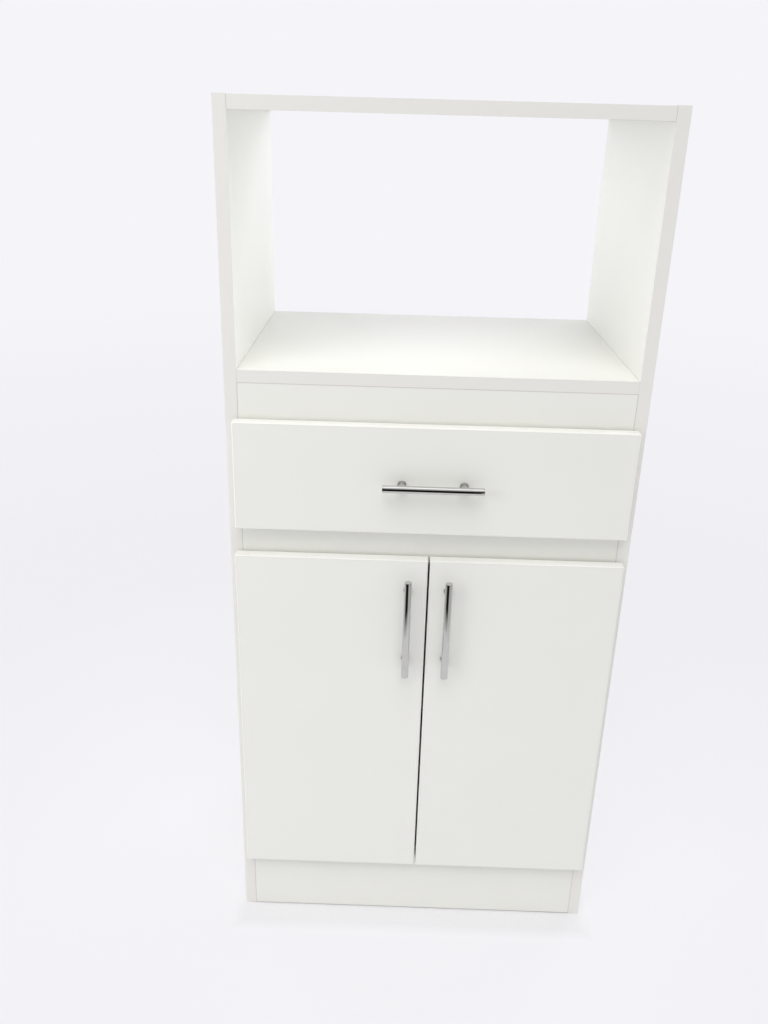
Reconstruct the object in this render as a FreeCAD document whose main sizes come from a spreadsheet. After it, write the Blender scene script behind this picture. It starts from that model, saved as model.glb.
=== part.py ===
"""Tall microwave cabinet in white melamine board: an open bay over a drawer and a pair of doors.

The frame stands on the floor plane, x to the right across the front, y into the cabinet, z up. Every body is drawn with
y = 0 on the front edges of the side panels and is then moved back, so that the origin is under the middle of the whole.
"""

import FreeCAD, Part
import os
import re

import Sketcher

Vector = FreeCAD.Vector
Turn = FreeCAD.Rotation

SIZES = [
    # carcass
    ("width", 640, "over the two side panels"),
    ("height", 1430, "floor to the top of the side panels"),
    ("depth", 450, "of the side panels, front edge to rear edge"),
    ("board", 19, "melamine board of the carcass"),
    ("back_board", 3, "hardboard behind the closed part"),
    ("top_step", 0.8, "the sides stand proud of the top panel"),
    ("bay_height", 357, "clear height of the open bay"),
    ("upper_rail_height", 75, "rail under the microwave shelf"),
    ("drawer_opening", 142, "between the two rails"),
    ("middle_rail_height", 75, "rail between drawer and doors"),
    ("kick_height", 134, "kick plate"),
    ("kick_gap", 2, "kick plate above the floor"),
    ("back_inset", 3, "back panel inside the outline of the carcass"),
    ("nail_dia", 1.6, "panel nail"),
    ("nail_length", 18, "panel nail"),
    ("nail_head", 0.8, "head of a panel nail, thickness"),
    ("nail_head_dia", 4.5, "head of a panel nail"),
    # inner shelf
    ("shelf_height", 285, "inner shelf above the bottom panel"),
    ("shelf_play", 1, "inner shelf to each side panel"),
    ("shelf_setback", 30, "inner shelf behind the front edges"),
    ("shelf_depth", 410, "inner shelf, front to rear"),
    ("pin_row", 37, "line of drillings from the front or rear edge"),
    ("pin_pitch", 32, "between drillings in a line"),
    ("pin_dia", 5, "shelf pin"),
    ("pin_depth", 9, "shelf pin in the side panel"),
    ("pin_reach", 8, "shelf pin under the shelf"),
    ("pin_collar", 8, "collar of a shelf pin"),
    # knock-down fittings
    ("cam_dia", 15, "cam lock"),
    ("cam_depth", 12.5, "cam lock into the board"),
    ("cam_setback", 34, "cam centre from the end of the board"),
    ("bolt_dia", 7, "shank of the cam bolt"),
    ("bolt_neck", 4, "neck of the cam bolt, where the cam grips"),
    ("bolt_head", 3, "head of the cam bolt, thickness"),
    ("bolt_thread", 5, "screwed end of the cam bolt"),
    ("bolt_bite", 11, "cam bolt into the side panel"),
    ("dowel_dia", 8, "wood dowel"),
    ("dowel_length", 30, "wood dowel"),
    ("dowel_bite", 11, "wood dowel into the side panel"),
    ("dowel_chamfer", 1, "ends of the wood dowel"),
    ("cam_inset", 60, "cam from the front and rear edges of a panel"),
    ("dowel_pitch", 32, "from cam to dowel"),
    ("drill_play", 0.1, "round a fitting in its drilling"),
    # fronts
    ("front_board", 19, "board of the fronts"),
    ("front_gap", 2.5, "fronts to the front edges of the carcass"),
    ("edge_radius", 2, "rounded edging of the fronts"),
    ("door_reveal", 9.5, "door edge inside the outer face of the side"),
    ("door_gap", 3, "between the doors"),
    ("door_lap_top", 14.5, "doors over the middle rail"),
    ("door_lap_bottom", 8, "doors over the kick plate"),
    ("drawer_reveal", 12, "drawer front inside the outer face of the side"),
    ("drawer_lap_top", 19.5, "drawer front over the upper rail"),
    ("drawer_lap_bottom", 14, "drawer front over the middle rail"),
    ("bumper_dia", 8, "soft pad behind a front"),
    ("bumper_inset", 40, "soft pad from the end of its front"),
    # bar handles
    ("bar_dia", 12, "handle bar"),
    ("bar_length", 156, "handle bar of the drawer"),
    ("door_bar_length", 176, "handle bar of a door"),
    ("bar_bevel", 0.8, "ends of the handle bar"),
    ("post_pitch", 96, "between the posts of the drawer handle"),
    ("door_post_pitch", 128, "between the posts of a door handle"),
    ("post_dia", 10, "handle post"),
    ("post_foot", 14, "foot of a handle post"),
    ("foot_thick", 2.5, "foot of a handle post"),
    ("handle_reach", 26.5, "front face to the outside of the bar"),
    ("handle_inset", 31, "door handle from the gap side of its door"),
    ("handle_drop", 28.5, "door handle below the top of its door"),
    ("handle_sink", 5, "drawer handle below the middle of its front"),
    ("handle_screw", 4, "screw through the front"),
    ("handle_bite", 12, "screw into the post"),
    ("screw_head", 1.4, "height of a screw head"),
    # drawer box
    ("runner_space", 13, "drawer box to each side panel"),
    ("box_board", 12, "board of the drawer box"),
    ("box_height", 100, "sides of the drawer box"),
    ("box_length", 400, "sides of the drawer box"),
    ("box_lift", 18, "drawer box above the middle rail"),
    ("box_cam_dia", 12, "cam lock of the drawer box"),
    ("box_cam_depth", 9, "cam lock into the drawer side"),
    ("box_bolt_dia", 6, "shank of the cam bolt of the drawer box"),
    ("box_setback", 24, "cam centre behind the drawer front"),
    ("box_fitting_pitch", 32, "between cam and dowel in a drawer side"),
    ("box_dowel_dia", 6, "dowel of the drawer box"),
    ("box_dowel_length", 25, "dowel of the drawer box"),
    ("box_screw_length", 30, "screw through a drawer side into the drawer back"),
    ("base_board", 3, "drawer bottom"),
    ("base_lift", 14, "drawer bottom above the lower edge of the box"),
    ("groove_depth", 6, "groove for the drawer bottom"),
    ("groove_play", 0.2, "round the drawer bottom in its groove"),
    # roller runners
    ("sheet_metal", 1, "steel of the runners"),
    ("track_width", 11, "flanges of the cabinet runner"),
    ("flange_width", 10, "flanges of the drawer runner"),
    ("flange_rise", 0.8, "drawer runner above the cabinet runner"),
    ("roller_dia", 21, "nylon roller"),
    ("roller_width", 5, "nylon roller"),
    ("roller_play", 0.3, "roller to its track"),
    ("roller_side", 2.5, "roller to the steel that carries it"),
    ("axle_dia", 4, "roller rivet"),
    ("axle_head", 8, "head of the roller rivet"),
    ("axle_play", 0.05, "roller round its rivet"),
    ("roller_set", 14, "roller from the end of its runner"),
    ("flange_start", 14.7, "upper flange of the cabinet runner behind its roller"),
    ("runner_screws", 192, "between the screws of a runner"),
    ("wood_screw", 3.5, "screw of the runners, cups and drawer box"),
    ("wood_screw_head", 7, "head of that screw"),
    ("screw_bite", 9.5, "that screw into the board"),
    # hinges
    ("cup_dia", 35, "hinge cup"),
    ("cup_depth", 11.5, "hinge cup into the door"),
    ("cup_wall", 1, "hinge cup"),
    ("cup_ear", 5, "ear of a hinge cup round its screw"),
    ("cup_edge", 3, "door edge to cup"),
    ("cup_screw_pitch", 45, "between the screws of a cup"),
    ("cup_screw_set", 9.5, "cup screws from the middle of the cup"),
    ("hinge_inset", 90, "hinge from the end of its door"),
    ("hinge_pin_depth", 8, "hinge pin below the back face of the door"),
    ("hinge_pin_edge", 7.4, "hinge pin from the door edge"),
    ("hinge_pin_dia", 2.5, "hinge pin"),
    ("knuckle_in", 1.5, "ear of a hinge cup inside its pin"),
    ("knuckle_out", 3, "ear of a hinge cup outside its pin"),
    ("eye_wall", 0.9, "eye of the hinge arm"),
    ("arm_thick", 2.2, "hinge arm"),
    ("hook_width", 10, "hooked end of the hinge arm"),
    ("arm_width", 16, "straight of the hinge arm"),
    ("arm_offset", 10.9, "hinge pin to the straight of the arm"),
    ("arm_length", 66, "hinge arm, pin to rear end"),
    ("ear_play", 0.3, "hook to the ears of the cup"),
    ("plate_row", 37, "mounting plate screws from the front edge"),
    ("plate_screw_pitch", 32, "between the mounting plate screws"),
    ("plate_length", 44, "rail of the mounting plate"),
    ("plate_rail", 12, "rail of the mounting plate, width"),
    ("plate_wing", 2.5, "wings of the mounting plate, thickness"),
    ("plate_span", 50, "over the wings of the mounting plate"),
    ("euro_head", 8.5, "head of a mounting plate screw"),
    ("arm_screw", 4, "fixing and adjusting screws of the arm"),
    ("arm_screw_pitch", 18, "between those screws"),
]
NAMES = {name for name, size, meaning in SIZES}

doc = FreeCAD.newDocument("microwave_cabinet")
sheet = doc.addObject("Spreadsheet::Sheet", "Sizes")
for row, (name, size, meaning) in enumerate(SIZES, 1):
    sheet.set(f"A{row}", name)
    sheet.set(f"B{row}", str(size))
    sheet.set(f"C{row}", meaning)
    sheet.setAlias(f"B{row}", name)
doc.recompute()

# Places that follow from the sizes, as text that the sheet can work out.
INNER = "(width/2 - board)"
FRONT_EDGE = "((front_gap + front_board + handle_reach - depth - back_board - nail_head)/2)"
TOP = "(height - top_step)"
DECK = f"({TOP} - board - bay_height)"
UPPER_RAIL = f"({DECK} - board - upper_rail_height)"
MIDDLE_RAIL = f"({UPPER_RAIL} - drawer_opening - middle_rail_height)"
KICK_TOP = "(kick_gap + kick_height)"
FLOOR_TOP = f"({KICK_TOP} + board)"
SHELF = f"({FLOOR_TOP} + shelf_height)"
MID = "(board/2)"
FRONT_FACE = "(front_gap + front_board)"
DOOR_LOW = f"({KICK_TOP} - door_lap_bottom)"
DOOR_HIGH = f"({MIDDLE_RAIL} + door_lap_top)"
DOOR_LEFT = "(door_reveal - width/2)"
DOOR_RIGHT = "(-door_gap/2)"
DRAWER_LOW = f"({MIDDLE_RAIL} + middle_rail_height - drawer_lap_bottom)"
DRAWER_HIGH = f"({UPPER_RAIL} + drawer_lap_top)"
DRAWER_BAR_Z = f"(({DRAWER_LOW} + {DRAWER_HIGH})/2 - handle_sink)"
BAR_AXIS = f"({FRONT_FACE} + handle_reach - bar_dia/2)"
DOOR_BAR_X = f"({DOOR_RIGHT} - handle_inset)"
DOOR_BAR_Z = f"({DOOR_HIGH} - handle_drop - door_bar_length/2)"
BOX_LOW = f"({MIDDLE_RAIL} + middle_rail_height + box_lift)"
BOX_TOP = f"({BOX_LOW} + box_height)"
BOX_HALF = f"({INNER} - runner_space)"
BOX_INSIDE = f"({BOX_HALF} - box_board)"
BOX_REAR = "(box_length - front_gap)"
BOX_CAM = f"({BOX_LOW} + box_height/2 + box_fitting_pitch/2)"
BOX_DOWEL = f"({BOX_LOW} + box_height/2 - box_fitting_pitch/2)"
BASE = f"({BOX_LOW} + base_lift)"
TRACK_HEIGHT = "(roller_dia + 2*roller_play)"
TRACK_MID = f"({BOX_LOW} + {TRACK_HEIGHT}/2)"
FLANGE = f"({BOX_LOW} + {TRACK_HEIGHT} + sheet_metal + flange_rise)"
FRONT_ROLLER = f"({FLANGE} - roller_play - roller_dia/2)"
REAR_ROLLER_Y = f"({BOX_REAR} - roller_set)"
HINGE_X = f"({DOOR_LEFT} + hinge_pin_edge)"
HINGE_Y = "(-front_gap - hinge_pin_depth)"
CUP_X = f"({DOOR_LEFT} + cup_edge + cup_dia/2)"
PLATE_TOP = f"({HINGE_X} + {INNER} + arm_offset - arm_thick/2)"
HINGE_HEIGHTS = [f"({DOOR_LOW} + hinge_inset)", f"({DOOR_HIGH} - hinge_inset)"]
ARM_SCREWS = ["(plate_row - arm_screw_pitch/2)", "(plate_row + arm_screw_pitch/2)"]


def bound(text):
    """The text with each size's name led to the sheet."""
    return re.sub(r"[a-z][a-z_]*", lambda word: "Sizes." + word.group() if word.group() in NAMES else word.group(),
                  str(text))


def value(text):
    return float(sheet.evalExpression(bound(text)))


def bind(thing, prop, text):
    thing.setExpression(prop, bound(text))


# ---------------------------------------------------------------- ways of making a piece

def new_body(label):
    """A body in the cabinet's frame, moved back with the rest of the cabinet."""
    body = doc.addObject("PartDesign::Body", label)
    body.Label = label
    bind(body, "Placement.Base.y", FRONT_EDGE)
    return body


def sketch(body, plane, offset="0"):
    """An empty sketch on one of the body's origin planes, set off along that plane's normal."""
    made = body.newObject("Sketcher::SketchObject", f"{body.Name}_sketch")
    base = [part for part in body.Origin.OriginFeatures if part.Role == plane][0]
    made.AttachmentSupport = [(base, "")]
    made.MapMode = "FlatFace"
    bind(made, "AttachmentOffset.Base.z", offset)
    return made


def hold(made, geometry, point, x, y):
    """Dimensions from the sketch's origin to a point."""
    for kind, text in (("DistanceX", x), ("DistanceY", y)):
        index = made.addConstraint(Sketcher.Constraint(kind, -1, 1, geometry, point, value(text)))
        bind(made, f"Constraints[{index}]", text)


def polygon(made, corners):
    """A closed outline through corners given as pairs of expressions."""
    spots = [Vector(value(x), value(y), 0) for x, y in corners]
    first = made.GeometryCount
    for here, there in zip(spots, spots[1:] + spots[:1]):
        made.addGeometry(Part.LineSegment(here, there))
    for index, (x, y) in enumerate(corners):
        after = (index + 1) % len(corners)
        made.addConstraint(Sketcher.Constraint("Coincident", first + index, 2, first + after, 1))
        hold(made, first + index, 1, x, y)


def rectangle(made, x0, y0, x1, y1):
    polygon(made, [(x0, y0), (x1, y0), (x1, y1), (x0, y1)])


def circle(made, x, y, dia):
    index = made.addGeometry(Part.Circle(Vector(value(x), value(y), 0), Vector(0, 0, 1), value(dia) / 2))
    hold(made, index, 3, x, y)
    size = made.addConstraint(Sketcher.Constraint("Diameter", index, value(dia)))
    bind(made, f"Constraints[{size}]", dia)


def pad(body, made, length):
    """Adds the sketch's outline, raised along its plane's normal."""
    feature = body.newObject("PartDesign::Pad", f"{body.Name}_pad")
    feature.Profile = made
    bind(feature, "Length", length)
    made.Visibility = False
    doc.recompute()
    return feature


def pocket(body, made, depth, along_normal=False):
    """Cuts the sketch's outline against its plane's normal, or along it."""
    before = body.Shape.Volume
    feature = body.newObject("PartDesign::Pocket", f"{body.Name}_pocket")
    feature.Profile = made
    feature.Reversed = along_normal
    bind(feature, "Length", depth)
    doc.recompute()
    if body.Shape.Volume >= before:
        raise RuntimeError(f"{body.Label}: {feature.Name} cuts nothing")
    return feature


def revolve(body, made, axis="V_Axis"):
    feature = body.newObject("PartDesign::Revolution", f"{body.Name}_turned")
    feature.Profile = made
    feature.ReferenceAxis = (made, [axis])
    feature.Angle = 360
    doc.recompute()
    return feature


def round_edges(body, radius, wanted):
    """Fillets the edges of the body that the test picks."""
    base = body.Tip
    names = [f"Edge{i}" for i, edge in enumerate(base.Shape.Edges, 1) if wanted(edge)]
    feature = body.newObject("PartDesign::Fillet", f"{body.Name}_rounding")
    feature.Base = (base, names)
    bind(feature, "Radius", radius)
    doc.recompute()
    return feature


def along(edge, axis):
    """Whether an edge is straight and runs along x, y or z."""
    if edge.Curve.TypeId != "Part::GeomLine":
        return False
    return abs(abs(edge.tangentAt(edge.FirstParameter)[axis]) - 1) < 1e-6


def block(label, x0, x1, y0, y1, z0, z1):
    """A board or other plain block between three pairs of places."""
    body = new_body(label)
    plan = sketch(body, "XY_Plane", z0)
    rectangle(plan, x0, y0, x1, y1)
    pad(body, plan, f"({z1}) - ({z0})")
    return body


def drill(body, plane, at, spots, dia, depth, along_normal=False):
    """Round drillings of one diameter and depth from one plane."""
    marks = sketch(body, plane, at)
    for x, y in spots:
        circle(marks, x, y, dia)
    return pocket(body, marks, depth, along_normal)


def turned(label, outline, spot=None, turn=None):
    """A piece turned about its own z axis from a half outline of radius and height."""
    body = doc.addObject("PartDesign::Body", label)
    body.Label = label
    half = sketch(body, "XZ_Plane")
    polygon(half, outline)
    revolve(body, half)
    if spot:
        set_down(body, spot, turn)
    return body


def set_down(piece, spot, turn=None):
    """Places a piece at x, y, z of the cabinet's frame, turned as asked."""
    piece.Placement = FreeCAD.Placement(Vector(), turn or Turn())
    x, y, z = spot
    bind(piece, "Placement.Base.x", x)
    bind(piece, "Placement.Base.y", f"{FRONT_EDGE} + ({y})")
    bind(piece, "Placement.Base.z", z)


def copy_at(piece, spot, turn=None):
    """A linked copy of a fitting."""
    link = doc.addObject("App::Link", f"{piece.Name}_copy")
    link.LinkedObject = piece
    set_down(link, spot, turn)
    return link


def group(label, members):
    made = doc.addObject("Part::Compound", label)
    made.Label = label
    made.Links = members
    return made


def mirrored(label, source):
    """The same piece for the other side of the cabinet."""
    made = doc.addObject("Part::Mirroring", label)
    made.Label = label
    made.Source = source
    made.Base = Vector(0, 0, 0)
    made.Normal = Vector(1, 0, 0)
    return made


def both_sides(label, members):
    """Fittings on the left and their mirror images on the right, in one group."""
    left = group(f"{label}_left", members)
    return group(label, [left, mirrored(f"{label}_right", left)])


TO_RIGHT = Turn(Vector(0, 1, 0), 90)    # a turned piece's axis laid along +x
TO_REAR = Turn(Vector(1, 0, 0), -90)    # along +y
TO_FRONT = Turn(Vector(1, 0, 0), 90)    # along -y
ON_END = Turn(Vector(0, 0, 1), 90)      # turned a quarter about its own axis first


# ---------------------------------------------------------------- where the fittings sit

DECKS = [f"({TOP} - board)", f"({DECK} - board)", KICK_TOP]
RAILS = {
    "upper_rail": (UPPER_RAIL, "upper_rail_height"),
    "middle_rail": (MIDDLE_RAIL, "middle_rail_height"),
    "kick_plate": ("kick_gap", "kick_height"),
}
CAM_ROWS = ["cam_inset", "(depth - cam_inset)"]
DOWEL_ROWS = ["(cam_inset + dowel_pitch)", "(depth - cam_inset - dowel_pitch)"]
RAIL_CAMS = [f"({low} + {size}/2 + dowel_pitch/2)" for low, size in RAILS.values()]
RAIL_DOWELS = [f"({low} + {size}/2 - dowel_pitch/2)" for low, size in RAILS.values()]
CAM_SPOTS = [(y, f"({low} + {MID})") for low in DECKS for y in CAM_ROWS] + [(MID, z) for z in RAIL_CAMS]
DOWEL_SPOTS = [(y, f"({low} + {MID})") for low in DECKS for y in DOWEL_ROWS] + [(MID, z) for z in RAIL_DOWELS]
PLATE_SCREWS = [("plate_row", f"({z} {sign} plate_screw_pitch/2)") for z in HINGE_HEIGHTS for sign in "+-"]
RUNNER_ROWS = ["(pin_row + pin_pitch)", "(pin_row + pin_pitch + runner_screws)"]
RUNNER_SCREWS = [(y, TRACK_MID) for y in RUNNER_ROWS]
NAIL_LOW, NAIL_HIGH = f"({KICK_TOP} + {MID})", f"({DECK} - {MID})"
NAIL_STEPS = 4
SIDE_NAILS = [(f"({MID} - width/2)", f"({NAIL_LOW} + ({NAIL_HIGH} - {NAIL_LOW})*{step}/{NAIL_STEPS})")
              for step in range(NAIL_STEPS + 1)]
PIN_ROWS = ["pin_row", "(depth - pin_row)"]
PIN_STEPS = range(-3, 4)


# ---------------------------------------------------------------- carcass

def deck_nails(z):
    return [(f"({sign}{INNER}/2)", z) for sign in ("-", "")]


def nail_holes(body, y, spots):
    """Holes for the nails of the back panel, forward from the plane at y; also right through the panel."""
    drill(body, "XZ_Plane", f"-({y})", spots, "nail_dia + 2*drill_play", "nail_length - back_board + drill_play", True)


def side_panel():
    body = block("left_side_panel", "-width/2", f"-{INNER}", "0", "depth", "0", "height")
    face = f"-{INNER}"
    pins = [(y, f"{SHELF} - pin_dia/2 + {step}*pin_pitch") for y in PIN_ROWS for step in PIN_STEPS]
    drill(body, "YZ_Plane", face, CAM_SPOTS, "bolt_thread + 2*drill_play", "bolt_bite + drill_play")
    drill(body, "YZ_Plane", face, DOWEL_SPOTS, "dowel_dia + 2*drill_play", "dowel_bite + drill_play")
    drill(body, "YZ_Plane", face, pins, "pin_dia + 2*drill_play", "pin_depth + drill_play")
    drill(body, "YZ_Plane", face, PLATE_SCREWS, "bolt_thread + 2*drill_play", "bolt_bite + drill_play")
    drill(body, "YZ_Plane", face, RUNNER_SCREWS, "wood_screw + 2*drill_play", "screw_bite + drill_play")
    nail_holes(body, "depth", SIDE_NAILS)
    return body


def end_drillings(body, cams, dowels):
    """Bores in both ends of a board between the sides, for cam bolts and dowels at (y, z)."""
    dowel_depth = "dowel_length - dowel_bite + drill_play"
    for face, inward in ((f"-{INNER}", True), (INNER, False)):
        drill(body, "YZ_Plane", face, cams, "bolt_dia + 2*drill_play", "cam_setback", inward)
        drill(body, "YZ_Plane", face, dowels, "dowel_dia + 2*drill_play", dowel_depth, inward)


def deck_panel(label, low):
    """A full-depth panel between the sides, with cams let into its underside."""
    body = block(label, f"-{INNER}", INNER, "0", "depth", low, f"{low} + board")
    end_drillings(body, [(y, f"{low} + {MID}") for y in CAM_ROWS], [(y, f"{low} + {MID}") for y in DOWEL_ROWS])
    seats = [(f"{sign}({INNER} - cam_setback)", y) for sign in ("-", "") for y in CAM_ROWS]
    drill(body, "XY_Plane", low, seats, "cam_dia + 2*drill_play", "cam_depth + drill_play", True)
    if low != DECKS[0]:
        nail_holes(body, "depth", deck_nails(f"{low} + {MID}"))
    return body


def rail(label, cam, dowel):
    """An upright rail between the sides, flush with the front, with cams let into its rear face."""
    low, size = RAILS[label]
    body = block(label, f"-{INNER}", INNER, "0", "board", low, f"{low} + {size}")
    end_drillings(body, [(MID, cam)], [(MID, dowel)])
    seats = [(f"{sign}({INNER} - cam_setback)", cam) for sign in ("-", "")]
    drill(body, "XZ_Plane", "-board", seats, "cam_dia + 2*drill_play", "cam_depth + drill_play", True)
    return body


def make_carcass():
    left = side_panel()
    pieces = [left, mirrored("right_side_panel", left)]
    pieces += [deck_panel(label, low) for label, low in zip(("top_panel", "microwave_shelf", "bottom_panel"), DECKS)]
    pieces += [rail(label, cam, dowel) for label, cam, dowel in zip(RAILS, RAIL_CAMS, RAIL_DOWELS)]
    pieces.append(block("inner_shelf", f"shelf_play - {INNER}", f"{INNER} - shelf_play",
                        "shelf_setback", "shelf_setback + shelf_depth", SHELF, f"{SHELF} + board"))
    panel = block("back_panel", "back_inset - width/2", "width/2 - back_inset", "depth", "depth + back_board",
                  f"{KICK_TOP} + back_inset", f"{DECK} - back_inset")
    right_nails = [(f"(-1*{x})", z) for x, z in SIDE_NAILS]
    nail_holes(panel, "depth + back_board", SIDE_NAILS + right_nails + deck_nails(NAIL_LOW) + deck_nails(NAIL_HIGH))
    pieces.append(panel)
    return pieces


# ---------------------------------------------------------------- knock-down fittings

def cam_lock(label, dia, depth, bolt, axis):
    """A drum with a screwdriver slot in its face and a throat for a bolt that lies at the axis height."""
    lock = turned(label, [("0", "0"), (f"{dia}/2", "0"), (f"{dia}/2", depth), ("0", depth)])
    slot = sketch(lock, "XY_Plane")
    rectangle(slot, f"-{dia}/3", f"-{dia}/20", f"{dia}/3", f"{dia}/20")
    pocket(lock, slot, f"{depth}/6", True)
    throat = sketch(lock, "YZ_Plane", f"-{dia}")
    half = f"({bolt}/2 + drill_play)"
    rectangle(throat, f"-{half}", f"{axis} - {half}", half, f"{axis} + {dia}")
    pocket(lock, throat, f"{dia} + 2*drill_play", True)
    return lock


def cam_bolt(label, bite, shank, setback):
    """A bolt that screws in below zero and reaches up to a necked head at the cam's centre."""
    end = f"({setback} - drill_play)"
    return turned(label, [
        ("0", f"-{bite}"), ("bolt_thread/2", f"-{bite}"), ("bolt_thread/2", "0"), (f"{shank}/2", "0"),
        (f"{shank}/2", f"{end} - 2*bolt_head"), ("bolt_neck/2", f"{end} - 2*bolt_head"),
        ("bolt_neck/2", f"{end} - bolt_head"), (f"{shank}/2", f"{end} - bolt_head"),
        (f"{shank}/2", end), ("0", end)])


def dowel(label, dia, length, bite):
    top = f"({length} - {bite})"
    tip = f"({dia}/2 - dowel_chamfer)"
    return turned(label, [
        ("0", f"-{bite}"), (tip, f"-{bite}"), (f"{dia}/2", f"dowel_chamfer - {bite}"),
        (f"{dia}/2", f"{top} - dowel_chamfer"), (tip, top), ("0", top)])


def screw(label, dia, head_dia, bite, grip="0"):
    """A screw with its axis along z: the head sits on top of the grip and the bite goes below zero."""
    return turned(label, [
        ("0", f"-{bite}"), (f"{dia}/2", f"{dia} - {bite}"), (f"{dia}/2", grip), (f"{head_dia}/2", grip),
        (f"{head_dia}/2", f"{grip} + screw_head/2"), (f"{head_dia}/3", f"{grip} + screw_head"),
        ("0", f"{grip} + screw_head")])


def shelf_pin():
    """A peg whose collar is cut away above, so that the shelf lies on the peg."""
    pin = turned("shelf_pin", [
        ("0", "-pin_depth"), ("pin_dia/2", "-pin_depth"), ("pin_dia/2", "0"), ("pin_collar/2", "0"),
        ("pin_collar/2", "shelf_play"), ("pin_dia/2", "shelf_play"), ("pin_dia/2", "pin_reach"), ("0", "pin_reach")])
    above = sketch(pin, "XY_Plane")
    rectangle(above, "-pin_collar", "-pin_collar", "-pin_dia/2", "pin_collar")
    pocket(pin, above, "pin_reach", True)
    return pin


def make_fittings():
    """The fittings of the carcass, each kind in one group."""
    face = f"-{INNER}"
    lock = cam_lock("cam_lock", "cam_dia", "cam_depth", "bolt_dia", MID)
    bolt = cam_bolt("cam_bolt", "bolt_bite", "bolt_dia", "cam_setback")
    peg = dowel("wood_dowel", "dowel_dia", "dowel_length", "dowel_bite")
    pin = shelf_pin()
    nail = turned("panel_nail", [
        ("0", "-nail_length"), ("nail_dia/2", "nail_dia - nail_length"), ("nail_dia/2", "0"),
        ("nail_head_dia/2", "0"), ("nail_head_dia/2", "nail_head"), ("0", "nail_head")])

    locks = [copy_at(lock, (f"cam_setback - {INNER}", y, low)) for low in DECKS for y in CAM_ROWS]
    locks += [copy_at(lock, (f"cam_setback - {INNER}", "board", z), TO_FRONT) for z in RAIL_CAMS]
    bolts = [copy_at(bolt, (face, y, z), TO_RIGHT) for y, z in CAM_SPOTS]
    pegs = [copy_at(peg, (face, y, z), TO_RIGHT) for y, z in DOWEL_SPOTS]
    pins = [copy_at(pin, (face, y, f"{SHELF} - pin_dia/2"), TO_RIGHT) for y in PIN_ROWS]

    nail_spots = SIDE_NAILS + [deck_nails(z)[0] for z in (NAIL_LOW, NAIL_HIGH)]
    nails = [copy_at(nail, (x, "(depth + back_board)", z), TO_REAR) for x, z in nail_spots]
    return [both_sides("cam_locks", locks), both_sides("cam_bolts", bolts), both_sides("wood_dowels", pegs),
            both_sides("shelf_pins", pins), both_sides("back_nails", nails)]


# ---------------------------------------------------------------- bar handles

def handle_bar(label, length, spot, turn=None):
    half, radius = f"({length}/2)", "(bar_dia/2)"
    return turned(label, [
        ("0", f"-{half}"), (f"{radius} - bar_bevel", f"-{half}"), (radius, f"bar_bevel - {half}"),
        (radius, f"{half} - bar_bevel"), (f"{radius} - bar_bevel", half), ("0", half)], spot, turn)


def handle_post():
    """A post with a wider foot, saddled to the bar that lies across its end along x, and tapped from below."""
    axis = "(handle_reach - bar_dia/2)"
    post = turned("handle_post", [
        ("0", "0"), ("post_foot/2", "0"), ("post_foot/2", "foot_thick/2"), ("post_dia/2", "foot_thick"),
        ("post_dia/2", axis), ("0", axis)])
    drill(post, "YZ_Plane", "-post_foot", [("0", axis)], "bar_dia", "2*post_foot", True)
    drill(post, "XY_Plane", "0", [("0", "0")], "handle_screw + 2*drill_play", "handle_bite + drill_play", True)
    return post


def make_handle(name, post, bolt, x, z, upright):
    """Bar, posts and screws of one handle about the middle (x, z) of its bar."""
    if upright:
        feet = [(x, f"{z} {sign} door_post_pitch/2") for sign in "+-"]
        bar = handle_bar(f"{name}_handle_bar", "door_bar_length", (x, f"-{BAR_AXIS}", z))
        turn = TO_FRONT * ON_END
    else:
        feet = [(f"{x} {sign} post_pitch/2", z) for sign in "+-"]
        bar = handle_bar(f"{name}_handle_bar", "bar_length", (x, f"-{BAR_AXIS}", z), TO_RIGHT)
        turn = TO_FRONT
    posts = [copy_at(post, (a, f"-{FRONT_FACE}", b), turn) for a, b in feet]
    bolts = [copy_at(bolt, (a, f"-{FRONT_FACE}", b), TO_REAR) for a, b in feet]
    return [bar, group(f"{name}_handle_posts", posts), group(f"{name}_handle_screws", bolts)]


# ---------------------------------------------------------------- fronts

def front(label, x0, x1, z0, z1):
    """A board with all its edges rounded, standing off the carcass by the front gap."""
    body = block(label, x0, x1, f"-{FRONT_FACE}", "-front_gap", z0, z1)
    round_edges(body, "edge_radius", lambda edge: True)
    return body


def handle_holes(body, feet):
    drill(body, "XZ_Plane", "front_gap", feet, "handle_screw + 2*drill_play", "front_board + drill_play", True)


def make_doors(post, bolt):
    """The left door with its handle, and both mirrored for the right."""
    door = front("left_door", DOOR_LEFT, DOOR_RIGHT, DOOR_LOW, DOOR_HIGH)
    cups = [(CUP_X, z) for z in HINGE_HEIGHTS]
    drill(door, "XZ_Plane", "front_gap", cups, "cup_dia + 2*drill_play", "cup_depth + drill_play", True)
    screws = [(f"{CUP_X} + cup_screw_set", f"{z} {sign} cup_screw_pitch/2") for z in HINGE_HEIGHTS for sign in "+-"]
    drill(door, "XZ_Plane", "front_gap", screws, "wood_screw + 2*drill_play", "screw_bite + drill_play", True)
    handle_holes(door, [(DOOR_BAR_X, f"{DOOR_BAR_Z} {sign} door_post_pitch/2") for sign in "+-"])
    pieces = [door] + make_handle("left", post, bolt, DOOR_BAR_X, DOOR_BAR_Z, True)
    return pieces + [mirrored(piece.Label.replace("left", "right"), piece) for piece in pieces]


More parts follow.
